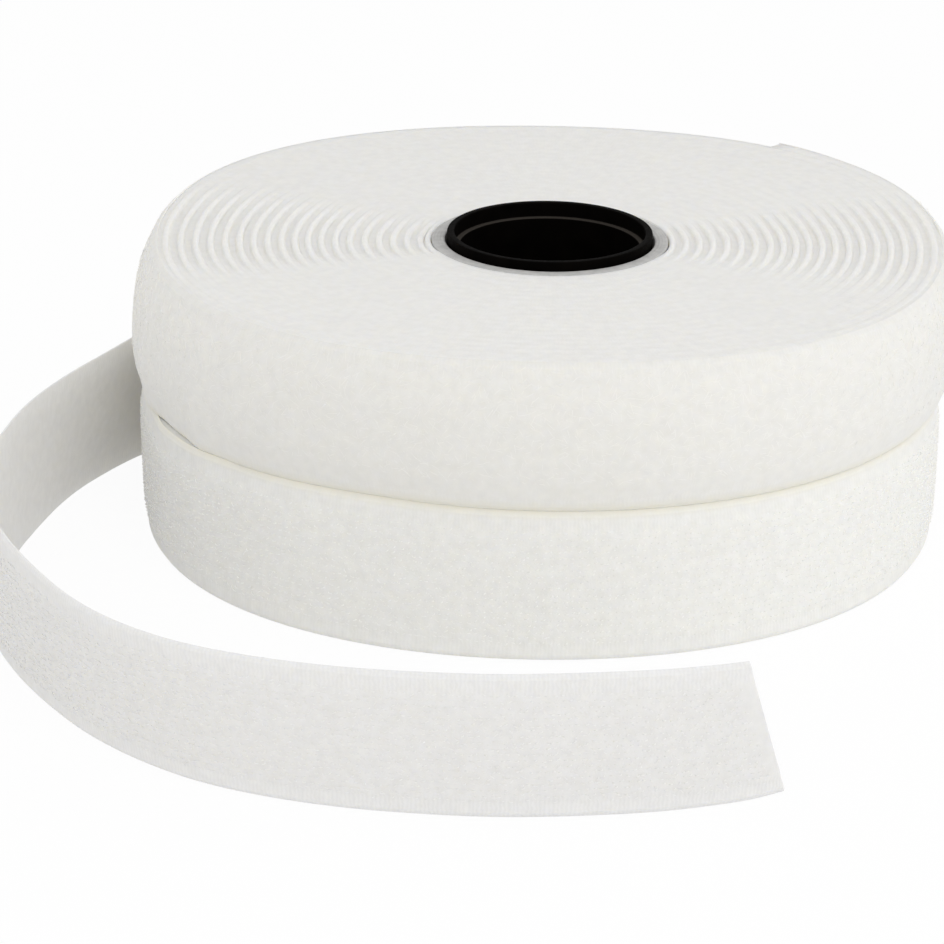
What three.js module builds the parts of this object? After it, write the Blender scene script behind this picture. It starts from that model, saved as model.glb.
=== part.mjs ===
// Twin roll of hook and loop tape. Two coils of narrow tape lie one on the other,
// each wound on its own board core, and both cores turn on one moulded hub tube.
// The lower coil's free end comes off at the back left, stands on its edge and
// sweeps round to the front. Millimetres, +Z up, origin on the roll's axis at the
// level that the roll stands on, -Y to the front.

import * as THREE from 'three';

// Tape: a woven strip with its pile on the outer face, thinner at the two selvedges
const TAPE_WIDTH = 20;
const TAPE_THICKNESS = 1.1;
const SELVEDGE_BEVEL = 0.7;

// Winding: the turns lie looser towards the outside
const TURNS = 21;
const INNER_TURN_GAP = 0.45;
const OUTER_TURN_GAP = 1.17;
const STEPS_PER_TURN = 24;
const OUTER_TURN_STEPS = 36;

// Where each tape leaves its coil, in degrees from +X, how far the outer turns have
// settled off the axis, and how far they have settled towards a square
const HOOK_END_ANGLE = 130;
const LOOP_END_ANGLE = 54;
const HOOK_DRIFT = new THREE.Vector2(-1.4, -1.5);
const LOOP_DRIFT = new THREE.Vector2(-0.55, 2.0);
const HOOK_SQUARENESS = 0.4;
const LOOP_SQUARENESS = 1.05;

// Hub tube: a plain bore, with a wider stepped mouth at both ends
const HUB_BORE = 25.4;
const HUB_LEDGE = 0.8;
const HUB_RIM = 1.0;
const HUB_MOUTH_DEPTH = 2.1;
const HUB_CHAMFER = 0.35;
const HUB_PROUD = 1.2;

// Board cores and the sticky strips that start the tape on them
const CORE_WALL = 1.9;
const CORE_CHAMFER = 0.25;
const STRIP_WIDTH = 15;
const STRIP_THICKNESS = 0.3;
const STRIP_STEPS = 6;

// Clearances: the cores run on the hub, the coils lie on each other, and what is
// stuck or wound on a piece keeps a hair's breadth from it
const RUNNING_CLEARANCE = 0.3;
const COIL_CLEARANCE = 0.4;
const SEAT_CLEARANCE = 0.3;

const ROUND_SEGMENTS = 48;

// Free tail: plan points measured from where the tape leaves the lower coil, and how
// much shorter the slanting cut leaves the upper edge
const TAIL_ROUTE = [
  [0, 0], [-7.5, -7.5], [-14, -16.5], [-20, -25], [-24.5, -33.5], [-28.5, -42.5],
  [-31.5, -51.5], [-34, -61.5], [-35.5, -71.5], [-36.5, -81.5], [-36, -91.5],
  [-33.5, -101.5], [-30, -111], [-25, -121], [-19, -130.5], [-12, -138.5], [-4, -145],
  [5, -149.5], [15, -152.5], [25, -154], [35, -154.5], [45.5, -153.5], [55.5, -151.5],
  [65, -148], [70.5, -144.5],
];
const TAIL_STEPS = 40;
const TAIL_CUT = 5.6;

// Radii, from the hub outwards
const hubRadius = HUB_BORE / 2 + HUB_LEDGE + HUB_RIM;
const coreBoreRadius = hubRadius + RUNNING_CLEARANCE;
const coreRadius = coreBoreRadius + CORE_WALL;
const facetShare = Math.cos(Math.PI / STEPS_PER_TURN);
const stripRadius = (coreRadius + SEAT_CLEARANCE) / facetShare;
const coilRadius = stripRadius + STRIP_THICKNESS + SEAT_CLEARANCE;

// Levels, from the table up
const loopBase = TAPE_WIDTH + COIL_CLEARANCE;
const hubLength = loopBase + TAPE_WIDTH + HUB_PROUD;

const blackPlastic = new THREE.MeshStandardMaterial({
  color: 0x14110f, roughness: 0.45, metalness: 0,
});
const greyBoard = new THREE.MeshStandardMaterial({
  color: 0xa9a7a3, roughness: 0.9, metalness: 0,
});
const stickyFilm = new THREE.MeshStandardMaterial({
  color: 0xd8d2bd, roughness: 0.5, metalness: 0,
});
const whiteHookTape = new THREE.MeshStandardMaterial({
  color: 0xefeeea, roughness: 0.85, metalness: 0,
});
const whiteLoopTape = new THREE.MeshStandardMaterial({
  color: 0xf2f1ee, roughness: 0.95, metalness: 0,
});

// Revolves a closed outline of [radius, height] pairs about +Z
function turned(outline) {
  const points = [...outline, outline[0]].map(([r, z]) => new THREE.Vector2(r, z));
  const geometry = new THREE.LatheGeometry(points, ROUND_SEGMENTS);
  return geometry.rotateX(Math.PI / 2);
}

// Joins rings of points, each with as many corners as the last, into one closed skin
function skinned(rings) {
  const corners = rings[0].length;
  const positions = rings.flat().flatMap((point) => point.toArray());
  const faces = [];
  for (let i = 0; i < rings.length - 1; i += 1) {
    for (let j = 0; j < corners; j += 1) {
      const a = i * corners + j;
      const b = i * corners + (j + 1) % corners;
      faces.push(a, b + corners, b, a, a + corners, b + corners);
    }
  }
  const last = (rings.length - 1) * corners;
  for (let j = 1; j < corners - 1; j += 1) {
    faces.push(0, j, j + 1, last, last + j + 1, last + j);
  }
  const geometry = new THREE.BufferGeometry();
  geometry.setAttribute('position', new THREE.Float32BufferAttribute(positions, 3));
  geometry.setIndex(faces);
  geometry.computeVertexNormals();
  return geometry;
}

// Section of the tape as [out, up] pairs: the woven back is as wide as the tape, and
// the pile face stops short of both edges
function tapeSection() {
  const half = TAPE_THICKNESS / 2;
  return [
    [-half, 0], [half, SELVEDGE_BEVEL], [half, TAPE_WIDTH - SELVEDGE_BEVEL], [-half, TAPE_WIDTH],
  ];
}

// Stands a section at a plan point, with its outer face towards the unit vector out
function standing(section, point, out, base) {
  return section.map(([offset, up]) => new THREE.Vector3(
    point.x + out.x * offset, point.y + out.y * offset, base + up,
  ));
}

// The spiral of one coil: plan point and outward direction after a number of turns
function spiral(endAngle, drift, squareness) {
  const innerPitch = TAPE_THICKNESS + INNER_TURN_GAP;
  const pitchGrowth = OUTER_TURN_GAP - INNER_TURN_GAP;
  return (turn) => {
    const angle = THREE.MathUtils.degToRad(endAngle) + 2 * Math.PI * (turn - TURNS);
    const settled = (turn / TURNS) ** 2;
    const radius = coilRadius + TAPE_THICKNESS / 2 + innerPitch * turn
      + pitchGrowth * turn * turn / (2 * TURNS) - squareness * settled * Math.cos(4 * angle);
    const out = new THREE.Vector2(Math.cos(angle), Math.sin(angle));
    const point = out.clone().multiplyScalar(radius).addScaledVector(drift, settled);
    return { point, out };
  };
}

// Turn counts of the winding's rings: the outermost turn, which makes the outline,
// has finer steps than the turns that it hides
function windingTurns() {
  const turns = [];
  const inner = (TURNS - 1) * STEPS_PER_TURN;
  for (let i = 0; i < inner; i += 1) turns.push(i / STEPS_PER_TURN);
  for (let i = 0; i <= OUTER_TURN_STEPS; i += 1) {
    turns.push(TURNS - 1 + i / OUTER_TURN_STEPS);
  }
  return turns;
}

// Least gap between neighbouring turns, measured from points on the outer face of one
// turn, at its corners and between them, to the inner face of the next
function leastTurnGap(path) {
  const turns = windingTurns();
  const face = (turn, side) => {
    const { point, out } = path(turn);
    return point.addScaledVector(out, side * TAPE_THICKNESS / 2);
  };
  const outer = turns.map((turn) => face(turn, 1));
  const inner = turns.map((turn) => face(turn, -1));
  const fill = (points) => points.slice(1).flatMap((point, i) => [
    points[i], points[i].clone().lerp(point, 0.25), points[i].clone().lerp(point, 0.5),
    points[i].clone().lerp(point, 0.75),
  ]);
  const outerPoints = fill(outer);
  const innerPoints = fill(inner);
  const apart = 2 * STEPS_PER_TURN;
  let least = Infinity;
  for (let i = 0; i < outerPoints.length; i += 1) {
    for (let j = i + apart; j < innerPoints.length; j += 1) {
      least = Math.min(least, outerPoints[i].distanceTo(innerPoints[j]));
    }
  }
  return least;
}

function hubTube() {
  const bore = HUB_BORE / 2;
  const mouth = bore + HUB_LEDGE;
  const ledge = HUB_MOUTH_DEPTH;
  const edge = HUB_CHAMFER;
  const lower = [
    [bore, ledge + edge], [bore + edge, ledge], [mouth, ledge], [mouth, edge],
    [mouth + edge / 2, 0], [hubRadius - edge, 0], [hubRadius, edge],
  ];
  const upper = lower.map(([r, z]) => [r, hubLength - z]).reverse();
  return new THREE.Mesh(turned([...lower, ...upper]), blackPlastic);
}

function boardCore(base) {
  const edge = CORE_CHAMFER;
  const top = base + TAPE_WIDTH;
  const outline = [
    [coreBoreRadius, base + edge], [coreBoreRadius + edge, base],
    [coreRadius - edge, base], [coreRadius, base + edge],
    [coreRadius, top - edge], [coreRadius - edge, top],
    [coreBoreRadius + edge, top], [coreBoreRadius, top - edge],
  ];
  return new THREE.Mesh(turned(outline), greyBoard);
}

// A strip stuck round the core under the tape's inner end, facet for facet with it
function startStrip(endAngle, base) {
  const section = [[0, 0], [STRIP_THICKNESS, 0], [STRIP_THICKNESS, STRIP_WIDTH], [0, STRIP_WIDTH]];
  const rings = [];
  for (let i = 0; i <= STRIP_STEPS; i += 1) {
    const angle = THREE.MathUtils.degToRad(endAngle) + 2 * Math.PI * i / STEPS_PER_TURN;
    const out = new THREE.Vector2(Math.cos(angle), Math.sin(angle));
    const point = out.clone().multiplyScalar(stripRadius);
    rings.push(standing(section, point, out, base + (TAPE_WIDTH - STRIP_WIDTH) / 2));
  }
  return new THREE.Mesh(skinned(rings), stickyFilm);
}

function tapeCoil(path, base, material) {
  const section = tapeSection();
  const rings = windingTurns().map((turn) => {
    const { point, out } = path(turn);
    return standing(section, point, out, base);
  });
  return new THREE.Mesh(skinned(rings), material);
}

// The free tail runs on from the end of the lower coil. The cut shortens the tape
// steadily from its lower to its upper edge.
function tapeTail(path) {
  const { point, out } = path(TURNS);
  const along = new THREE.Vector2(-out.y, out.x);
  const start = point.addScaledVector(along, SEAT_CLEARANCE);
  const route = new THREE.CatmullRomCurve3(
    TAIL_ROUTE.map(([x, y]) => new THREE.Vector3(start.x + x, start.y + y, 0)),
  );
  const length = route.getLength();
  const section = tapeSection();
  const rings = [];
  for (let i = 0; i <= TAIL_STEPS; i += 1) {
    rings.push(section.map(([offset, up]) => {
      const share = (i / TAIL_STEPS) * (1 - TAIL_CUT * up / (TAPE_WIDTH * length));
      const centre = route.getPointAt(share);
      const heading = route.getTangentAt(share);
      return new THREE.Vector3(
        centre.x + heading.y * offset, centre.y - heading.x * offset, up,
      );
    }));
  }
  console.log(`hook_tape_tail length ${length.toFixed(1)} mm`);
  return new THREE.Mesh(skinned(rings), whiteHookTape);
}

const hookPath = spiral(HOOK_END_ANGLE, HOOK_DRIFT, HOOK_SQUARENESS);
const loopPath = spiral(LOOP_END_ANGLE, LOOP_DRIFT, LOOP_SQUARENESS);
console.log(`hook_tape_coil least gap ${leastTurnGap(hookPath).toFixed(3)} mm`);
console.log(`loop_tape_coil least gap ${leastTurnGap(loopPath).toFixed(3)} mm`);

const pieces = {
  hub_tube: hubTube(),
  hook_core: boardCore(0),
  loop_core: boardCore(loopBase),
  hook_start_strip: startStrip(HOOK_END_ANGLE, 0),
  loop_start_strip: startStrip(LOOP_END_ANGLE, loopBase),
  hook_tape_coil: tapeCoil(hookPath, 0, whiteHookTape),
  loop_tape_coil: tapeCoil(loopPath, loopBase, whiteLoopTape),
  hook_tape_tail: tapeTail(hookPath),
};

const roll = new THREE.Group();
for (const [name, piece] of Object.entries(pieces)) {
  piece.name = name;
  roll.add(piece);
}

export default roll;
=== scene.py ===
"""Dresses a twin roll of white hook and loop tape on a black hub, as it lies on a pale table.

Metres, +Z up, the roll's axis on Z and the front towards -Y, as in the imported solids. The
coils, the free tail, the board cores and the hub are rebuilt with the tape's selvedges,
ridges, hooks and loops, and each new piece moves with the body that it belongs to.
"""

import math
from typing import NamedTuple

import bpy
import numpy as np
from mathutils import Matrix, Vector

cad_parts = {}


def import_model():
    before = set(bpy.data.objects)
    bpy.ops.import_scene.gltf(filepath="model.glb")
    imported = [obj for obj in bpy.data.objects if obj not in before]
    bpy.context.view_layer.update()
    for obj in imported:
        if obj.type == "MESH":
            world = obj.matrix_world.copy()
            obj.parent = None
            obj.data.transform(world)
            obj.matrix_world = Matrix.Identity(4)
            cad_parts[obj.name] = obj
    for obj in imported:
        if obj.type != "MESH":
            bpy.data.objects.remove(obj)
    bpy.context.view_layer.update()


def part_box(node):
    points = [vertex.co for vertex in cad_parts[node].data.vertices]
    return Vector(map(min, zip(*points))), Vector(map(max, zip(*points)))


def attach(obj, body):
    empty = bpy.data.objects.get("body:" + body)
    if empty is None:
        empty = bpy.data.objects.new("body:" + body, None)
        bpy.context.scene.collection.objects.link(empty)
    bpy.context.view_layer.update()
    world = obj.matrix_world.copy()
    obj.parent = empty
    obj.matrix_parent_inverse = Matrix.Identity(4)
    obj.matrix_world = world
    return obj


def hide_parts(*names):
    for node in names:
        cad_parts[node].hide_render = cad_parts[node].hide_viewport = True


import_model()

MM = 0.001

# The winding, as the solids have it
TURNS = 21
TAPE_THICKNESS = 1.1 * MM
INNER_TURN_GAP = 0.45 * MM
OUTER_TURN_GAP = 1.17 * MM
STEPS_PER_TURN = 24
SEAT_CLEARANCE = 0.3 * MM
STRIP_THICKNESS = 0.3 * MM

# The free tail's plan points, from where the tape leaves the lower coil. The cut takes this
# much off the upper edge in the solid, and a little more to the eye.
TAIL_ROUTE = np.array([
    [0, 0], [-7.5, -7.5], [-14, -16.5], [-20, -25], [-24.5, -33.5], [-28.5, -42.5],
    [-31.5, -51.5], [-34, -61.5], [-35.5, -71.5], [-36.5, -81.5], [-36, -91.5],
    [-33.5, -101.5], [-30, -111], [-25, -121], [-19, -130.5], [-12, -138.5], [-4, -145],
    [5, -149.5], [15, -152.5], [25, -154], [35, -154.5], [45.5, -153.5], [55.5, -151.5],
    [65, -148], [70.5, -144.5],
]) * MM
TAIL_CUT = 5.6 * MM
SEEN_CUT = 7.2 * MM

# How far the tail's upper edge leans outwards, after so much of its length. Where it leans
# inwards, the lower edge stands out by a share of that.
TAIL_LEAN = np.array([
    [0, 0], [20, -0.4], [45, -1.4], [70, 0], [110, 1], [133, 2.2], [155, 3.6], [180, 2.7],
    [215, 1.8], [245, 2.9],
]) * MM
TAIL_FOOT_SHARE = 0.7

# Sizes that the frame gives
TAPE_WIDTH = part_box("hook_tape_coil")[1][2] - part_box("hook_tape_coil")[0][2]
LOOP_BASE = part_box("loop_tape_coil")[0][2]
HUB_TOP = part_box("hub_tube")[1][2]
HUB_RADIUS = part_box("hub_tube")[1][0]
CORE_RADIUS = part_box("hook_core")[1][0]

# The hub's bore and the stepped mouths at its ends, and the room that the cores run with
HUB_BORE_RADIUS = 12.7 * MM
HUB_MOUTH_RADIUS = 13.5 * MM
HUB_LEDGE = 2.1 * MM
RUNNING_CLEARANCE = 0.3 * MM

# Make-up of the tape: a woven back with bevelled edges and threads across it
BACK = 0.6 * MM
BEVEL = 0.7 * MM
TIP = 0.12 * MM
EDGE_STEPS = 6
FACE_STEP = 0.8 * MM
THREAD_PITCH = 0.55 * MM
HOOK_RADIUS = 0.06 * MM
LOOP_RADIUS = 0.04 * MM

# How deep light goes into an outer turn, into the imported edges and into the single layer of
# the tail, which looks like the coil where it leaves it and like itself from this length on,
# and how far from the groove the edges carry a painted shade, a darker cream tint
COIL_DEPTH = 0.12 * MM
PACKED_DEPTH = 1.0 * MM
TAIL_DEPTH = 2.2 * MM
TAIL_FADE = 45 * MM
GROOVE_SHADE_REACH = 1.2 * MM

# The outer turn bellies out and its edges are drawn in, but the end of the upper tape lies
# close on the coil. The belly falls off towards the edges by this power, and the upper turn's
# lower edge sags.
SWELL_TURNS = 0.12
CLOSE_TURNS = 0.04
BELLY_POWER = 2.5
SAG = 0.37 * MM

# Everywhere but at the back, the edges of the two coils meet along a groove, which lies wider
# on the left. The upper coil's edge hangs over it, apart from a short stretch on the left
# where both stand out, the lower one more, and the gap shows. The lower coil's foot is a
# little oval.
GROOVE = 55.3 * MM
GROOVE_LEFT = 2.2 * MM
OVERHANG = 0.35 * MM
GAP = 1.2 * MM
GAP_SWELL = 1.2 * MM
GAP_ANGLE = math.radians(-151)
GAP_SPREAD = math.radians(9)
OVAL = 0.9 * MM
OVAL_ANGLE = math.radians(-100)

# Where these set in and where they are full: the lean by how far a turn faces backwards, the
# wider groove and the overhang by how far it faces left, the gap by spreads off its angle
LEAN_BACK = (0.75, -0.15)
WIDER_LEFT = (0.35, 0.75)
OVERHANG_LEFT = (0.95, 0.85)
SWELL_SPREADS = (1.625, 0.375)
OPEN_SPREADS = (1.0, 0.375)

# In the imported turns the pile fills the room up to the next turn, and almost to the tape's
# edge in the last two turns and towards the front and the back. A ridge takes no more than a
# share of its room. The first turn lies close on the core, over a thin film, and the next
# ones have that much more room.
PACKED_STATIONS = 120
RIDGE = 0.95 * MM
RIDGE_ROOM = 0.9
RIDGE_POWER = 0.8
PILE_DIP = 0.15
FILLED_TURNS = 2.0
FILLED_SHARE = 0.35
FILLED_FRONT = 0.04
FRONT_SIDES = (0.99, 0.9)
RIM = 0.06 * MM
PRESSED = 0.2 * MM
SETTLED = 1.0 * MM
HUGGING_TURNS = 0.8
LOOSE_TURNS = 8
FILM = 0.02 * MM

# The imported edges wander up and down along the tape, less at the front and the back, and the
# depth of the pile between them wanders faster
EDGE_WANDER = 0.08 * MM
EDGE_SPAN = 9 * MM
EDGE_CALM = 0.7
PILE_WANDER = 0.16 * MM
PILE_SPAN = 3 * MM

# A wave texture's phase at a scale of 1 runs this fast
WAVE_RATE = 20

# The camera, fitted to the outlines in the photograph
CAMERA_PLACE = Vector((0.0, -0.735, 0.2738))
CAMERA_AIM = Vector((-0.0105, 0.0, 0.0052))
CAMERA_ROLL = math.radians(0.83)
CAMERA_LENS = 208.3
SENSOR = 36.0


class TapeKind(NamedTuple):
    """One of the two tapes: its solid, its place in the roll and the make-up of its face."""
    roll: str
    slot: str
    end_angle: float
    drift: np.ndarray
    squareness: float
    base: float
    runs_on: bool
    belly: float
    drawn_in: float
    selvedge: float
    pile_rise: float
    ground: float
    pile_depth: float


HOOK = TapeKind(
    roll="hook_roll", slot="hook_tape", end_angle=math.radians(130),
    drift=np.array([-1.4, -1.5]) * MM, squareness=0.4 * MM, base=0.0, runs_on=True,
    belly=0.1 * MM, drawn_in=0.15 * MM,
    selvedge=2.3 * MM, pile_rise=0.9 * MM, ground=0.2 * MM, pile_depth=0.4 * MM)
LOOP = TapeKind(
    roll="loop_roll", slot="loop_tape", end_angle=math.radians(54),
    drift=np.array([-0.55, 2.0]) * MM, squareness=1.05 * MM, base=LOOP_BASE, runs_on=False,
    belly=1.1 * MM, drawn_in=0.6 * MM,
    selvedge=1.1 * MM, pile_rise=3.5 * MM, ground=0.4 * MM, pile_depth=0.55 * MM)


# Paths that the tape follows

class TapePath:
    """A stretch of tape in plan. It places points by how far they lie along the tape, out
    from its back face and up from its lower edge. Where it swells, it bellies out and its
    edges are drawn in, and it leans where its foot and its head are shifted."""

    def __init__(self, kind, centres, outs, swell):
        self.kind = kind
        self.back = centres - outs * TAPE_THICKNESS / 2
        self.outs = outs
        self.swell = swell
        self.foot = 0 * outs
        self.head = 0 * outs
        steps = np.linalg.norm(np.diff(self.back, axis=0), axis=1)
        self.along = np.concatenate([[0.0], np.cumsum(steps)])
        self.length = self.along[-1]

    def at(self, along, values):
        return np.interp(along, self.along, values)

    def place(self, along, out, up):
        share = up / TAPE_WIDTH
        spot = []
        for i in (0, 1):
            lean = self.at(along, self.foot[:, i]) * (1 - share) + self.at(along, self.head[:, i]) * share
            spot.append(self.at(along, self.back[:, i]) + self.at(along, self.outs[:, i]) * out + lean)
        return np.stack([*spot, self.kind.base + up + 0 * spot[0]], axis=-1)

    def bulge(self, along, up):
        return bulge(self.kind, self.at(along, self.swell), up)

    def face(self, along, up):
        """How far the ground of the pile lies out from the back of the path."""
        return BACK + self.bulge(along, up) + self.kind.ground * pile_share(self.kind, up)


def bulge(kind, swelling, up):
    """How far a swelling tape stands out from its path at a height on it."""
    across = np.abs(2 * up / TAPE_WIDTH - 1)
    return swelling * (kind.belly - (kind.belly + kind.drawn_in) * across ** BELLY_POWER)


def eased(t):
    """Smooth step from 0 to 1."""
    t = np.clip(t, 0, 1)
    return t * t * (3 - 2 * t)


def ramp(value, start, full):
    """Smooth step from 0 where a value is at the start to 1 where it is at the full end."""
    return eased((value - start) / (full - start))


def pile_share(kind, up):
    """How full the pile stands at a height on the tape: 0 on the selvedges, 1 in the middle."""
    inside = np.minimum(up, TAPE_WIDTH - up) - kind.selvedge
    return ramp(inside, 0, kind.pile_rise)


def spiral(kind, turns):
    """Plan points and outward directions of a coil's centre line at these turn counts."""
    facet = math.cos(math.pi / STEPS_PER_TURN)
    strip = (CORE_RADIUS + SEAT_CLEARANCE) / facet
    start = strip + STRIP_THICKNESS + SEAT_CLEARANCE + TAPE_THICKNESS / 2
    growth = (OUTER_TURN_GAP - INNER_TURN_GAP) / (2 * TURNS)
    pitch = TAPE_THICKNESS + INNER_TURN_GAP
    angle = kind.end_angle + 2 * math.pi * (turns - TURNS)
    settled = (turns / TURNS) ** 2
    radius = start + pitch * turns + growth * turns ** 2
    radius -= kind.squareness * settled * np.cos(4 * angle)
    hugging = np.minimum(turns, HUGGING_TURNS)
    loose = np.clip((LOOSE_TURNS - turns) / (LOOSE_TURNS - HUGGING_TURNS), 0, 1)
    radius -= (SETTLED + pitch * hugging) * loose
    outs = np.stack([np.cos(angle), np.sin(angle)], axis=-1)
    return outs * radius[:, None] + settled[:, None] * kind.drift, outs


def swell(kind, turns):
    """From 0 to 1 over the first stretch of the outer turn, and down again to its end."""
    rise = (turns - TURNS + 1) / SWELL_TURNS
    fall = (TURNS - turns) / (SWELL_TURNS if kind.runs_on else CLOSE_TURNS)
    return eased(np.minimum(rise, fall))


def coil_path(kind, turns):
    """A stretch of a coil. The wider its turns are, the more they lean towards the groove."""
    centres, outs = spiral(kind, turns)
    path = TapePath(kind, centres, outs, swell(kind, turns))
    angle = np.arctan2(outs[:, 1], outs[:, 0])
    leftwards, backwards = -outs[:, 0], outs[:, 1]
    share = (turns / TURNS) ** 2 * ramp(backwards, *LEAN_BACK)
    edge = outer_radius(kind, angle) - TAPE_THICKNESS / 2 + BACK - kind.drawn_in
    off_gap = np.abs(angle - GAP_ANGLE) / GAP_SPREAD
    meeting = GROOVE + GROOVE_LEFT * ramp(leftwards, *WIDER_LEFT)
    meeting += GAP_SWELL * ramp(off_gap, *SWELL_SPREADS)
    if kind.runs_on:
        path.head = (share * (meeting - edge))[:, None] * outs
        path.foot = (share * OVAL * np.cos(2 * (angle - OVAL_ANGLE)))[:, None] * outs
    else:
        overhang = OVERHANG * ramp(leftwards, *OVERHANG_LEFT)
        overhang -= GAP * ramp(off_gap, *OPEN_SPREADS)
        path.foot = (share * (meeting + overhang - edge))[:, None] * outs
    return path


def outer_radius(kind, angle):
    """How far the outer turn's centre line lies from the axis at these plan angles."""
    turns = TURNS - (kind.end_angle - angle) % (2 * math.pi) / (2 * math.pi)
    centres, outs = spiral(kind, turns)
    return (centres * outs).sum(axis=1)


def smooth_route(points, steps):
    """A smooth plan curve through points, with this many steps between neighbours."""
    first = 2 * points[0] - points[1]
    last = 2 * points[-1] - points[-2]
    p = np.vstack([first, points, last])
    t = np.arange(steps)[:, None] / steps
    spans = []
    for a, b, c, d in zip(p, p[1:], p[2:], p[3:]):
        spans.append(0.5 * (2 * b + (c - a) * t + (2 * a - 5 * b + 4 * c - d) * t ** 2
                            + (3 * b - a - 3 * c + d) * t ** 3))
    return np.vstack([*spans, points[-1:]])


def tail_path():
    """The free tail, from the very end of the lower coil to the cut."""
    end, out = spiral(HOOK, np.array([float(TURNS)]))
    along = np.array([-out[0, 1], out[0, 0]])
    route = smooth_route(end[0] + along * SEAT_CLEARANCE + TAIL_ROUTE, 24)
    route = np.vstack([end, route])
    heading = np.gradient(route, axis=0)
    heading /= np.linalg.norm(heading, axis=1)[:, None]
    outs = np.stack([heading[:, 1], -heading[:, 0]], axis=-1)
    outs[0] = out[0]
    path = TapePath(HOOK, route, outs, np.zeros(len(route)))
    length, lean = smooth_route(TAIL_LEAN, 12).T
    head = np.interp(path.along, length, lean)[:, None]
    path.head = head * outs
    path.foot = -TAIL_FOOT_SHARE * np.minimum(head, 0) * outs
    return path


# Mesh making

def new_object(name, points, faces, uv=None, sharp=40):
    """A smooth mesh in the scene, with its edges sharp from this many degrees on. Its map tells
    how far along the tape each point lies and how high up on it."""
    mesh = bpy.data.meshes.new(name)
    mesh.from_pydata(points.tolist(), [], faces)
    if uv is not None:
        corners = np.empty(len(mesh.loops), dtype=np.int32)
        mesh.loops.foreach_get("vertex_index", corners)
        layer = mesh.uv_layers.new(name="TapeMap")
        layer.data.foreach_set("uv", uv[corners].astype(np.float32).ravel())
    mesh.shade_smooth()
    mesh.set_sharp_from_angle(angle=math.radians(sharp))
    mesh.validate()
    piece = bpy.data.objects.new(name, mesh)
    bpy.context.collection.objects.link(piece)
    return piece


def skin(name, grid, uv, sharp=50):
    """A closed skin over rings of points, grid[station, corner], with both ends capped."""
    rows, ring = grid.shape[:2]
    row = np.arange(rows - 1)[:, None] * ring
    a = row + np.arange(ring)
    b = row + (np.arange(ring) + 1) % ring
    faces = np.stack([a, a + ring, b + ring, b], axis=-1).reshape(-1, 4).tolist()
    last = (rows - 1) * ring
    faces.append(list(range(ring)))
    faces.append(list(range(last + ring - 1, last - 1, -1)))
    return new_object(name, grid.reshape(-1, 3), faces, uv.reshape(-1, 2), sharp)


def strands(name, paths, radius):
    """Fine three-sided strands along paths[strand, point], each lying in its own plane with a
    flat side outwards."""
    count, points = paths.shape[:2]
    heading = np.gradient(paths, axis=1)
    heading /= np.linalg.norm(heading, axis=2, keepdims=True)
    middle = paths[:, points // 2] - paths[:, 0]
    side = np.cross(middle, paths[:, -1] - paths[:, 0])
    side /= np.maximum(np.linalg.norm(side, axis=1, keepdims=True), 1e-12)
    side = np.repeat(side[:, None], points, axis=1)
    up = np.cross(heading, side)
    rings = [paths + radius * (math.cos(a) * side + math.sin(a) * up)
             for a in (-math.pi / 2, math.pi / 6, math.pi * 5 / 6)]
    grid = np.stack(rings, axis=2)
    start = np.arange(count)[:, None, None] * points * 3
    row = np.arange(points - 1)[None, :, None] * 3
    a = start + row + np.arange(3)
    b = start + row + np.array([1, 2, 0])
    faces = np.stack([a, b, b + 3, a + 3], axis=-1).reshape(-1, 4).tolist()
    first = np.arange(count) * points * 3
    last = first + (points - 1) * 3
    faces += np.stack([first + 2, first + 1, first], axis=-1).tolist()
    faces += np.stack([last, last + 1, last + 2], axis=-1).tolist()
    return new_object(name, grid.reshape(-1, 3), faces, sharp=0)


def turned(name, outline, segments=160, sharp=30):
    """Revolves a closed outline of (radius, height) pairs about Z."""
    r, z = np.array(outline).T
    angle = np.arange(segments) * 2 * math.pi / segments
    grid = np.stack([np.cos(angle)[:, None] * r, np.sin(angle)[:, None] * r,
                     np.broadcast_to(z, (segments, len(z)))], axis=-1)
    ring = len(r)
    row = np.arange(segments)[:, None] * ring
    onward = (np.arange(segments)[:, None] + 1) % segments * ring
    j = np.arange(ring)
    k = (j + 1) % ring
    faces = np.stack([row + j, onward + j, onward + k, row + k], axis=-1)
    return new_object(name, grid.reshape(-1, 3), faces.reshape(-1, 4).tolist(), sharp=sharp)


def rounded(outline, radius, steps=4):
    """Rounds every corner of a closed outline of (x, y) pairs by the same radius."""
    points = [Vector(p) for p in outline]
    result = []
    for before, corner, after in zip(points[-1:] + points[:-1], points, points[1:] + points[:1]):
        start = corner + (before - corner).normalized() * radius
        end = corner + (after - corner).normalized() * radius
        for i in range(steps + 1):
            t = i / steps
            result.append((start * (1 - t) ** 2 + corner * 2 * t * (1 - t) + end * t ** 2)[:])
    return result


# Materials

def material(name):
    """A new material with its nodes, their links and its shader."""
    made = bpy.data.materials.new(name)
    made.use_nodes = True
    nodes = made.node_tree.nodes
    return made, nodes, made.node_tree.links, nodes["Principled BSDF"]


def noise_at(nodes, links, coordinate, scale, detail=2):
    noise = nodes.new("ShaderNodeTexNoise")
    noise.inputs["Scale"].default_value = scale
    noise.inputs["Detail"].default_value = detail
    links.new(coordinate, noise.inputs["Vector"])
    return noise.outputs["Fac"]


def colour_between(nodes, links, shader, share, dark, light):
    """Base colour that goes from dark to light as a share between 0.3 and 0.7 rises."""
    ramp = nodes.new("ShaderNodeValToRGB")
    ramp.color_ramp.elements[0].position = 0.3
    ramp.color_ramp.elements[0].color = (*dark, 1)
    ramp.color_ramp.elements[1].position = 0.7
    ramp.color_ramp.elements[1].color = (*light, 1)
    links.new(share, ramp.inputs["Fac"])
    links.new(ramp.outputs["Color"], shader.inputs["Base Color"])


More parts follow.
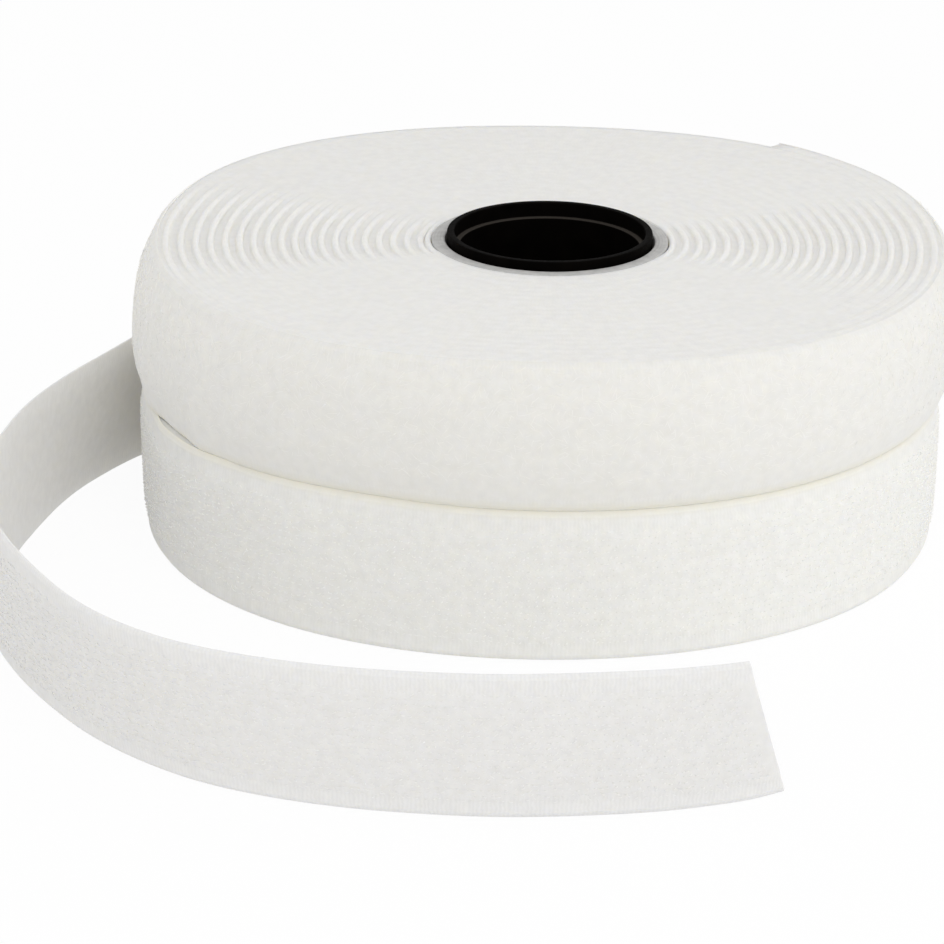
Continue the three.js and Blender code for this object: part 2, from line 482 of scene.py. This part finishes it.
def roughness_between(nodes, links, shader, share, low, high):
    spread = nodes.new("ShaderNodeMapRange")
    spread.inputs["From Min"].default_value = 0.3
    spread.inputs["From Max"].default_value = 0.7
    spread.inputs["To Min"].default_value = low
    spread.inputs["To Max"].default_value = high
    links.new(share, spread.inputs["Value"])
    links.new(spread.outputs["Result"], shader.inputs["Roughness"])


def blend(nodes, links, first, second, share):
    """A share of the second value with the rest of the first."""
    mix = nodes.new("ShaderNodeMix")
    mix.inputs["Factor"].default_value = share
    links.new(first, mix.inputs["A"])
    links.new(second, mix.inputs["B"])
    return mix.outputs["Result"]


def add_bump(nodes, links, shader, height, strength, distance):
    bump = nodes.new("ShaderNodeBump")
    bump.inputs["Strength"].default_value = strength
    bump.inputs["Distance"].default_value = distance
    links.new(height, bump.inputs["Height"])
    links.new(bump.outputs["Normal"], shader.inputs["Normal"])


def let_light_in(shader, weight, depth):
    """White nylon passes some light, a little more of the warm part."""
    shader.inputs["Subsurface Weight"].default_value = weight
    shader.inputs["Subsurface Radius"].default_value = (1.0, 0.94, 0.78)
    shader.inputs["Subsurface Scale"].default_value = depth


def wave_scale(pitch):
    """Scale of a wave texture whose bands lie a pitch apart."""
    return 2 * math.pi / pitch / WAVE_RATE


def woven_tape(name, kind, colours, threads_share=0.12, light_depth=COIL_DEPTH, tints=()):
    """White woven nylon: threads across its selvedges, and a fine nap all over. Each tint is a
    line on the tape, as an axis and a value of its map, with its reach and its colour. Along
    that line, light goes in only as deep as in a coil."""
    made, nodes, links, shader = material(name)
    shader.inputs["Roughness"].default_value = 0.75
    let_light_in(shader, 0.85, light_depth)
    uv = nodes.new("ShaderNodeUVMap")
    uv.uv_map = "TapeMap"
    where = nodes.new("ShaderNodeTexCoord").outputs["Object"]
    threads = nodes.new("ShaderNodeTexWave")
    threads.bands_direction = "X"
    threads.inputs["Scale"].default_value = wave_scale(THREAD_PITCH)
    threads.inputs["Distortion"].default_value = 4.0
    threads.inputs["Detail Scale"].default_value = 2.0
    links.new(uv.outputs["UV"], threads.inputs["Vector"])
    cloud = noise_at(nodes, links, where, 700, 4)
    bare = bare_share(nodes, links, uv.outputs["UV"], kind.selvedge)
    seen = nodes.new("ShaderNodeMix")
    seen.inputs["A"].default_value = 0.5
    links.new(bare, seen.inputs["Factor"])
    links.new(threads.outputs["Fac"], seen.inputs["B"])
    tone = blend(nodes, links, cloud, seen.outputs["Result"], threads_share)
    colour_between(nodes, links, shader, tone, *colours)
    for axis, value, reach, colour in tints:
        distance = distance_from(nodes, links, uv.outputs["UV"], axis, value)
        share = closeness(nodes, links, distance, reach)
        tint(nodes, links, shader, share, colour)
        depth = nodes.new("ShaderNodeMix")
        depth.inputs["A"].default_value = light_depth
        depth.inputs["B"].default_value = COIL_DEPTH
        links.new(share, depth.inputs["Factor"])
        links.new(depth.outputs["Result"], shader.inputs["Subsurface Scale"])
    nap = noise_at(nodes, links, where, 4500)
    height = blend(nodes, links, nap, seen.outputs["Result"], 2 * threads_share)
    add_bump(nodes, links, shader, height, 0.4, 0.08 * MM)
    return made


def distance_from(nodes, links, where, axis, value):
    """How far a point lies from a value on one axis of a texture coordinate."""
    split = nodes.new("ShaderNodeSeparateXYZ")
    links.new(where, split.inputs["Vector"])
    aside = nodes.new("ShaderNodeMath")
    aside.operation = "SUBTRACT"
    aside.inputs[1].default_value = value
    links.new(split.outputs[axis], aside.inputs[0])
    distance = nodes.new("ShaderNodeMath")
    distance.operation = "ABSOLUTE"
    links.new(aside.outputs["Value"], distance.inputs[0])
    return distance.outputs["Value"]


def bare_share(nodes, links, uv, selvedge):
    """1 on the selvedges, where no pile covers the threads, and little in the middle."""
    share = nodes.new("ShaderNodeMapRange")
    share.inputs["From Min"].default_value = TAPE_WIDTH / 2 - selvedge - 1.2 * MM
    share.inputs["From Max"].default_value = TAPE_WIDTH / 2 - selvedge
    share.inputs["To Min"].default_value = 0.12
    links.new(distance_from(nodes, links, uv, "Y", TAPE_WIDTH / 2), share.inputs["Value"])
    return share.outputs["Result"]


def closeness(nodes, links, distance, reach):
    """1 where a distance is nothing and 0 from the reach on."""
    share = nodes.new("ShaderNodeMapRange")
    share.inputs["From Max"].default_value = reach
    share.inputs["To Min"].default_value = 1.0
    share.inputs["To Max"].default_value = 0.0
    links.new(distance, share.inputs["Value"])
    return share.outputs["Result"]


def tint(nodes, links, shader, share, colour):
    """Turns a share of the base colour into this colour."""
    mix = nodes.new("ShaderNodeMix")
    mix.data_type = "RGBA"
    first, second = (socket for socket in mix.inputs if socket.name in "AB" and socket.type == "RGBA")
    links.new(share, mix.inputs["Factor"])
    links.new(shader.inputs["Base Color"].links[0].from_socket, first)
    second.default_value = (*colour, 1)
    result = next(socket for socket in mix.outputs if socket.type == "RGBA")
    links.new(result, shader.inputs["Base Color"])


def nylon_strand(name, dark, light, tints=()):
    """Bent nylon filament, glossier on some strands than on others. Each tint is a plane, as an
    axis and a place on it, with its reach and its colour."""
    made, nodes, links, shader = material(name)
    where = nodes.new("ShaderNodeTexCoord").outputs["Object"]
    cloud = noise_at(nodes, links, where, 900)
    colour_between(nodes, links, shader, cloud, dark, light)
    for axis, value, reach, colour in tints:
        distance = distance_from(nodes, links, where, axis, value)
        tint(nodes, links, shader, closeness(nodes, links, distance, reach), colour)
    roughness_between(nodes, links, shader, cloud, 0.15, 0.6)
    return made


def moulded_plastic():
    """Black plastic, with a painted highlight: the ledges inside the hub's mouths are tinted lighter, as
    if lit from above.
    """
    made, nodes, links, shader = material("black_moulded_plastic")
    shader.inputs["Specular IOR Level"].default_value = 0.01
    where = nodes.new("ShaderNodeTexCoord").outputs["Object"]
    colour_between(nodes, links, shader, noise_at(nodes, links, where, 260, 4),
                   (0.0012, 0.001, 0.0008), (0.003, 0.0023, 0.0018))
    # Painted highlight: a lighter grey band on each ledge, where light falls on it
    for ledge in (HUB_LEDGE, HUB_TOP - HUB_LEDGE):
        distance = distance_from(nodes, links, where, "Z", ledge)
        tint(nodes, links, shader, closeness(nodes, links, distance, 0.08 * MM), (0.05, 0.044, 0.038))
    grain = noise_at(nodes, links, where, 2400)
    roughness_between(nodes, links, shader, grain, 0.5, 0.65)
    add_bump(nodes, links, shader, grain, 0.25, 0.05 * MM)
    return made


def grey_board():
    """Wound board: plies show as rings on its ends, with paper fibre over all of it."""
    made, nodes, links, shader = material("grey_wound_board")
    shader.inputs["Roughness"].default_value = 0.9
    where = nodes.new("ShaderNodeTexCoord").outputs["Object"]
    colour_between(nodes, links, shader, noise_at(nodes, links, where, 900, 4),
                   (0.47, 0.465, 0.455), (0.60, 0.595, 0.58))
    plies = nodes.new("ShaderNodeTexWave")
    plies.wave_type = "RINGS"
    plies.rings_direction = "Z"
    plies.inputs["Scale"].default_value = wave_scale(0.45 * MM)
    plies.inputs["Distortion"].default_value = 1.2
    links.new(where, plies.inputs["Vector"])
    add_bump(nodes, links, shader, plies.outputs["Fac"], 0.3, 0.08 * MM)
    return made


def sticky_film():
    """Yellowish film, a little glossy."""
    made, nodes, links, shader = material("thin_sticky_film")
    shader.inputs["Roughness"].default_value = 0.4
    where = nodes.new("ShaderNodeTexCoord").outputs["Object"]
    colour_between(nodes, links, shader, noise_at(nodes, links, where, 300, 4),
                   (0.60, 0.56, 0.44), (0.70, 0.66, 0.54))
    return made


# The tape itself

def slow_wander(along, span, size, seed):
    """Smooth chance change along the tape, from 0 to size, with bumps about a span long."""
    random = np.random.default_rng(seed)
    knots = np.arange(math.floor(along.max() / span) + 3)
    values = random.uniform(0, size, len(knots))
    return np.interp(along / span, knots, values)


def tape_edge():
    """The tape's upper edge as (out, up) points from its front to its back: a bevel that ends
    in a round tip."""
    angle = np.linspace(math.pi / 4, math.pi, EDGE_STEPS)
    out = np.concatenate([[BACK], TIP * (1 + np.cos(angle))])
    below = np.concatenate([[BEVEL], TIP * (1 - np.sin(angle))])
    return out, TAPE_WIDTH - below


def packed_turns(name, kind, seed):
    """The turns that the outer one covers, as one body. Each turn's edge stands up as a round
    ridge, and the pile fills the room up to the next ridge, or to the back of the outer turn."""
    turns = np.arange((TURNS - 1) * PACKED_STATIONS + 1) / PACKED_STATIONS
    path = coil_path(kind, turns)
    after = coil_path(kind, turns + 1)
    step = after.back - path.back
    room_above = ((step + after.head - path.head) * path.outs).sum(axis=1)[:, None]
    room_below = ((step + after.foot - path.foot) * path.outs).sum(axis=1)[:, None]
    along = path.along[:, None]
    lift = slow_wander(path.along, EDGE_SPAN, EDGE_WANDER, seed)[:, None] - EDGE_WANDER
    nap = slow_wander(path.along, PILE_SPAN, PILE_WANDER, seed + 1)[:, None] - PILE_WANDER / 2
    last = TURNS - 1
    filled = ramp(turns, last - FILLED_TURNS, last)[:, None]
    frontal = ramp(np.abs(path.outs[:, :1]), *FRONT_SIDES)
    lift = lift * (1 - EDGE_CALM * frontal)
    depth = (kind.pile_depth + nap) * (1 - (1 - FILLED_SHARE) * filled)
    depth = depth * (1 - (1 - FILLED_FRONT) * frontal) + RIM * filled
    covered = bulge(kind, swell(kind, turns + 1)[:, None], TAPE_WIDTH - depth)
    pressed = np.where(turns > last - 1, PRESSED, 0)[:, None]

    arch = np.linspace(0, math.pi, 9)
    across = np.linspace(0, 1, 5)[1:]
    ridge_up = lift - depth * (1 - np.sin(arch) ** RIDGE_POWER)
    pile_up = -depth * (1 + PILE_DIP * np.sin(math.pi * across))
    high = TAPE_WIDTH + np.hstack([ridge_up, pile_up])
    along = along + 0 * high

    def columns(room):
        ridge = np.minimum(RIDGE, RIDGE_ROOM * room)
        far = room + covered + pressed
        return np.hstack([ridge / 2 * (1 - np.cos(arch)), ridge + (far - ridge) * across])

    top = path.place(along, columns(room_above), high)
    bottom = path.place(along, columns(room_below), TAPE_WIDTH - high)
    uv = np.stack([along, high], axis=-1)
    return ridged_body(name, top, bottom, uv)


def ridged_body(name, top, bottom, uv):
    """Closes the two sides of a wound body, top[station, column]. Where there is a next turn,
    the last column of one turn is the first column of that one."""
    rows, columns = top.shape[:2]
    kept = np.ones((rows, columns), dtype=bool)
    kept[:rows - PACKED_STATIONS, -1] = False
    number = np.cumsum(kept).reshape(rows, columns) - 1
    number[:rows - PACKED_STATIONS, -1] = number[PACKED_STATIONS:, 0]
    count = kept.sum()
    points = np.vstack([top[kept], bottom[kept]])
    uv = np.vstack([uv[kept], uv[kept]])

    a, b = number[:-1, :-1], number[:-1, 1:]
    d, c = number[1:, :-1], number[1:, 1:]
    upper = np.stack([a, b, c, d], axis=-1).reshape(-1, 4)
    lower = np.stack([a, d, c, b], axis=-1).reshape(-1, 4) + count
    inside = number[:PACKED_STATIONS + 1, 0]
    outside = number[rows - PACKED_STATIONS - 1:, -1][::-1]
    walls = [inside, outside, number[0, ::-1], number[-1]]
    faces = [upper, lower]
    for wall in walls:
        low = wall + count
        faces.append(np.stack([wall[:-1], wall[1:], low[1:], low[:-1]], axis=-1))
    return new_object(name, points, np.vstack(faces).tolist(), uv, sharp=100)


def cut_share(up):
    """How much of the cut is off the tape's end at a height on it."""
    share = up / TAPE_WIDTH
    return share * (4 - share) / 3


def open_tape(name, path, cut=0.0, sag=0.0):
    """A stretch with its face bare to view: its selvedges and the ground under the pile. The
    cut shortens its upper edge. Where it swells, its lower edge sags."""
    stations = int(path.length / FACE_STEP)
    share = np.linspace(0, 1, stations)[:, None]
    w = TAPE_WIDTH
    edge_out, edge_up = tape_edge()
    side = np.array([0.8, 1.3, 1.8, 2.3, 2.8]) * MM
    front_up = np.concatenate([side, np.linspace(3.6 * MM, w - 3.6 * MM, 7), w - side[::-1]])
    back_up = np.array([0.75, 0.5, 0.25]) * w
    up = np.concatenate([w - edge_up[::-1], front_up, edge_up, back_up])
    along = share * (path.length - cut * cut_share(up))
    out = path.bulge(along, up)
    count = len(edge_up)
    ends_front = count + len(front_up)
    out[:, :count] += edge_out[::-1]
    out[:, ends_front:ends_front + count] += edge_out
    front = slice(count, ends_front)
    out[:, front] = path.face(along, up)[:, front]
    high = up - path.at(along, path.swell) * sag * (1 - up / w)
    grid = path.place(along, out, high)
    uv = np.stack([along, high], axis=-1)
    return skin(name, grid, uv)


def hooks(name, path, seed, cut=0.0):
    """Rows of bent hooks that stand out of the tape's face, each row turned the other way."""
    random = np.random.default_rng(seed)
    row_pitch, pitch = 0.82 * MM, 0.98 * MM
    half = TAPE_WIDTH / 2 - path.kind.selvedge - 0.15 * MM
    rows = np.arange(-half, half, row_pitch) + TAPE_WIDTH / 2
    per_row = int((path.length - 1.4 * MM) / pitch)
    row, step = np.meshgrid(np.arange(len(rows)), np.arange(per_row), indexing="ij")
    row, step = row.ravel(), step.ravel()
    up = rows[row] + random.normal(0, 0.1 * MM, len(row))
    along = 0.4 * MM + (step + 0.5 * (row % 2)) * pitch + random.normal(0, 0.13 * MM, len(row))
    along *= 1 - cut * cut_share(up) / path.length
    turn = np.where(row % 2, 1, -1) * random.uniform(0.6, 1.15, len(row))
    sway = random.normal(0, 0.35, len(row))
    tall = (0.6 + 0.4 * pile_share(path.kind, up)) * random.uniform(0.8, 1.12, len(row))
    shape = np.array([[0, -0.06], [0.02, 0.07], [0.14, 0.14], [0.36, 0.12], [0.48, 0.01]]) * MM
    ahead = along[:, None] + shape[:, 0] * turn[:, None]
    high = up[:, None] + shape[:, 0] * sway[:, None]
    out = path.face(ahead, high) + shape[:, 1] * tall[:, None]
    return strands(name, path.place(ahead, out, high), HOOK_RADIUS)


def loops(name, path, seed):
    """A napped tangle of fine loops over the pile's ground."""
    random = np.random.default_rng(seed)
    pitch = 0.93 * MM
    half = TAPE_WIDTH / 2 - path.kind.selvedge
    rows = np.arange(-half, half, pitch) + TAPE_WIDTH / 2
    steps = np.arange(1.5 * MM, path.length - 1.5 * MM, pitch)
    up, along = (grid.ravel() for grid in np.meshgrid(rows, steps, indexing="ij"))
    count = len(up)
    up = up + random.uniform(-0.5, 0.5, count) * pitch
    along = along + random.uniform(-0.5, 0.5, count) * pitch
    bearing = random.normal(0, 0.9, count)
    span = random.uniform(0.4, 0.9, count) * MM
    tall = random.uniform(0.05, 0.09, count) * MM
    stray = random.random(count) < 0.004
    tall = np.where(stray, 4 * tall, tall)
    t = np.linspace(-1, 1, 5)
    ahead = along[:, None] + span[:, None] * t * np.cos(bearing)[:, None]
    high = up[:, None] + span[:, None] * t * np.sin(bearing)[:, None]
    out = path.face(ahead, high) - 0.06 * MM + tall[:, None] * (1 - t ** 4)
    return strands(name, path.place(ahead, out, high), LOOP_RADIUS)


# The pieces

def hub():
    """The black moulded tube, with a stepped mouth at both ends."""
    lower = [(HUB_BORE_RADIUS, HUB_LEDGE), (HUB_MOUTH_RADIUS, HUB_LEDGE),
             (HUB_MOUTH_RADIUS, 0), (HUB_RADIUS, 0)]
    upper = [(r, HUB_TOP - z) for r, z in reversed(lower)]
    return turned("hub_moulding", rounded(lower + upper, 0.2 * MM))


def core(name, node):
    """A board tube that runs on the hub."""
    low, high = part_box(node)
    bore = HUB_RADIUS + RUNNING_CLEARANCE
    outline = [(bore, low[2]), (high[0], low[2]), (high[0], high[2]), (bore, high[2])]
    return turned(name, rounded(outline, 0.22 * MM))


def start_film(name, node, kind):
    """The sticky film round a quarter of the core, under the start of the tape."""
    low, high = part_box(node)
    angle = kind.end_angle + np.linspace(0, math.pi / 2, 25)
    inner = CORE_RADIUS + FILM
    outs = np.stack([np.cos(angle), np.sin(angle), 0 * angle], axis=-1)[:, None]
    radius = np.array([inner, inner + FILM, inner + FILM, inner])[:, None]
    height = np.array([low[2], low[2], high[2], high[2]])[:, None] * np.array([0, 0, 1])
    grid = outs * radius + height
    uv = np.stack([angle[:, None] * inner + 0 * radius.T, 0 * angle[:, None] + height[:, 2]], axis=-1)
    return skin(name, grid, uv)


def shadowless(piece):
    """Fine filament and a single layer of tape pass light, so they leave no hard shadows."""
    piece.visible_shadow = False
    return piece


def dress(piece, finish, body, slot, *nodes):
    """Gives a piece its material and its body, and hides the nodes that it replaces. The slot is not
    used.
    """
    piece.data.materials.append(finish)
    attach(piece, body)
    if nodes:
        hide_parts(*nodes)
    return piece


def build_pieces():
    plastic = moulded_plastic()
    board = grey_board()
    film = sticky_film()
    hook_white = ((0.835, 0.83, 0.80), (0.895, 0.89, 0.86))
    loop_white = ((0.84, 0.83, 0.795), (0.885, 0.875, 0.84))
    packed_white = ((0.86, 0.85, 0.82), (0.91, 0.90, 0.87))
    tail_white = ((0.735, 0.73, 0.724), (0.79, 0.785, 0.778))
    # Painted shade: along the groove the edges are tinted a darker cream, where shade falls in the groove
    groove_painted_shade = (0.83, 0.81, 0.73)
    hook_weave = woven_tape("hook_tape_weave", HOOK, hook_white,
                            tints=[("Y", TAPE_WIDTH, GROOVE_SHADE_REACH, groove_painted_shade)])
    loop_weave = woven_tape("loop_tape_weave", LOOP, loop_white,
                            tints=[("Y", 0, GROOVE_SHADE_REACH, groove_painted_shade)])
    hook_edges = woven_tape("hook_tape_edges", HOOK, packed_white, 0.08, PACKED_DEPTH)
    loop_edges = woven_tape("loop_tape_edges", LOOP, packed_white, 0.08, PACKED_DEPTH)
    hook_nylon = nylon_strand("hook_filament", (0.89, 0.885, 0.86), (0.95, 0.945, 0.92))
    loop_nylon = nylon_strand("loop_filament", (0.89, 0.88, 0.845), (0.94, 0.93, 0.895))
    # A single layer of tape lets light through, so the tail turns greyer away from the coil
    leaving_white = (0.865, 0.86, 0.83)
    leaving_nylon = (0.92, 0.915, 0.89)
    tail = tail_path()
    tail_start = tail.back[0, 1]
    tail_weave = woven_tape("tail_tape_weave", HOOK, tail_white, 0.2, TAIL_DEPTH,
                            tints=[("X", 0, TAIL_FADE, leaving_white)])
    tail_nylon = nylon_strand("tail_filament", (0.79, 0.785, 0.778), (0.85, 0.845, 0.838),
                              tints=[("Y", tail_start, TAIL_FADE, leaving_nylon)])

    dress(hub(), plastic, "hub", "black_plastic", "hub_tube")
    dress(core("hook_board_core", "hook_core"), board, HOOK.roll, "grey_board", "hook_core")
    dress(core("loop_board_core", "loop_core"), board, LOOP.roll, "grey_board", "loop_core")
    dress(start_film("hook_start_film", "hook_start_strip", HOOK), film,
          HOOK.roll, "sticky_film", "hook_start_strip")
    dress(start_film("loop_start_film", "loop_start_strip", LOOP), film,
          LOOP.roll, "sticky_film", "loop_start_strip")

    outer = np.linspace(TURNS - 1, TURNS, 1441)
    hook_outer = coil_path(HOOK, outer)
    loop_outer = coil_path(LOOP, outer)
    hook_place = (HOOK.roll, HOOK.slot)
    loop_place = (LOOP.roll, LOOP.slot)
    hook_turns = packed_turns("hook_coil_turns", HOOK, seed=11)
    loop_turns = packed_turns("loop_coil_turns", LOOP, seed=23)
    dress(hook_turns, hook_edges, *hook_place, "hook_tape_coil")
    dress(loop_turns, loop_edges, *loop_place, "loop_tape_coil")
    dress(open_tape("hook_outer_turn", hook_outer), hook_weave, *hook_place)
    dress(shadowless(open_tape("loop_outer_turn", loop_outer, sag=SAG)), loop_weave, *loop_place)
    dress(shadowless(hooks("hook_outer_pile", hook_outer, seed=31)), hook_nylon, *hook_place)
    dress(shadowless(loops("loop_outer_pile", loop_outer, seed=37)), loop_nylon, *loop_place)

    tail_tape = open_tape("hook_tail_tape", tail, cut=SEEN_CUT)
    tail_pile = shadowless(hooks("hook_tail_pile", tail, seed=41, cut=SEEN_CUT))
    dress(tail_tape, tail_weave, *hook_place, "hook_tape_tail")
    dress(tail_pile, tail_nylon, *hook_place)
    length = float(tail.length - TAIL_CUT / 2)
    middle = np.linspace(0, length, 60)
    line = tail.place(middle, TAPE_THICKNESS / 2, TAPE_WIDTH / 2)


# The studio

def seen_directly(nodes, links):
    """1 for rays from the camera, in reflections and through glass, and 0 for lighting."""
    path = nodes.new("ShaderNodeLightPath")
    total = path.outputs["Is Camera Ray"]
    for kind in ("Is Glossy Ray", "Is Transmission Ray"):
        either = nodes.new("ShaderNodeMath")
        either.operation = "MAXIMUM"
        links.new(total, either.inputs[0])
        links.new(path.outputs[kind], either.inputs[1])
        total = either.outputs["Value"]
    return total


def floor():
    """A pale floor that looks white, with a light shadow of the object left on it."""
    mesh = bpy.data.meshes.new("floor")
    reach = 3.0
    mesh.from_pydata([(-reach, -reach, 0), (reach, -reach, 0), (reach, reach, 0),
                      (-reach, reach, 0)], [], [(0, 1, 2, 3)])
    plane = bpy.data.objects.new("floor", mesh)
    plane.location.z = -0.2 * MM
    bpy.context.collection.objects.link(plane)
    made, nodes, links, shader = material("pale_floor")
    shader.inputs["Base Color"].default_value = (0.86, 0.86, 0.86, 1)
    shader.inputs["Roughness"].default_value = 0.9
    shader.inputs["Emission Color"].default_value = (1, 1, 1, 1)
    shader.inputs["Emission Strength"].default_value = 0.14
    share = nodes.new("ShaderNodeMath")
    share.operation = "MULTIPLY"
    share.inputs[1].default_value = 0.93
    glow = nodes.new("ShaderNodeEmission")
    mix = nodes.new("ShaderNodeMixShader")
    links.new(seen_directly(nodes, links), share.inputs[0])
    links.new(share.outputs["Value"], mix.inputs["Fac"])
    links.new(shader.outputs["BSDF"], mix.inputs[1])
    links.new(glow.outputs["Emission"], mix.inputs[2])
    links.new(mix.outputs["Shader"], nodes["Material Output"].inputs["Surface"])
    mesh.materials.append(made)


def world():
    """White all round, with the light a little stronger from the sides than from above."""
    made = bpy.data.worlds.new("studio")
    bpy.context.scene.world = made
    made.use_nodes = True
    nodes, links = made.node_tree.nodes, made.node_tree.links
    soft = nodes["Background"]
    soft.inputs["Color"].default_value = (1, 1, 1, 1)
    where = nodes.new("ShaderNodeTexCoord")
    split = nodes.new("ShaderNodeSeparateXYZ")
    level = nodes.new("ShaderNodeMapRange")
    level.inputs["To Min"].default_value = 1.02
    level.inputs["To Max"].default_value = 0.56
    links.new(where.outputs["Generated"], split.inputs["Vector"])
    links.new(split.outputs["Z"], level.inputs["Value"])
    links.new(level.outputs["Result"], soft.inputs["Strength"])
    white = nodes.new("ShaderNodeBackground")
    white.inputs["Color"].default_value = (1, 1, 1, 1)
    mix = nodes.new("ShaderNodeMixShader")
    links.new(seen_directly(nodes, links), mix.inputs["Fac"])
    links.new(soft.outputs["Background"], mix.inputs[1])
    links.new(white.outputs["Background"], mix.inputs[2])
    links.new(mix.outputs["Shader"], nodes["World Output"].inputs["Surface"])


def lamp(name, place, aim, size, power):
    """A round soft light."""
    light = bpy.data.lights.new(name, "AREA")
    light.shape = "DISK"
    light.size = size
    light.energy = power
    holder = bpy.data.objects.new(name, light)
    holder.location = place
    holder.rotation_euler = (Vector(aim) - Vector(place)).to_track_quat("-Z", "Y").to_euler()
    bpy.context.collection.objects.link(holder)


def camera():
    """The camera of the photograph, tilted a little about its own line of sight."""
    data = bpy.data.cameras.new("camera")
    data.lens = CAMERA_LENS
    data.sensor_width = SENSOR
    data.clip_end = 20
    holder = bpy.data.objects.new("camera", data)
    look = (CAMERA_AIM - CAMERA_PLACE).to_track_quat("-Z", "Y").to_matrix().to_4x4()
    holder.matrix_world = (Matrix.Translation(CAMERA_PLACE) @ look
                           @ Matrix.Rotation(CAMERA_ROLL, 4, "Z"))
    bpy.context.collection.objects.link(holder)
    bpy.context.scene.camera = holder


build_pieces()
floor()
world()
roll_middle = (0, 0, 0.02)
lamp("side", place=(0.75, 0.0, 0.35), aim=roll_middle, size=0.4, power=0.5)
lamp("front", place=(0.1, -0.42, 0.55), aim=roll_middle, size=0.4, power=0.88)
camera()
bpy.context.scene.view_settings.view_transform = "Standard"
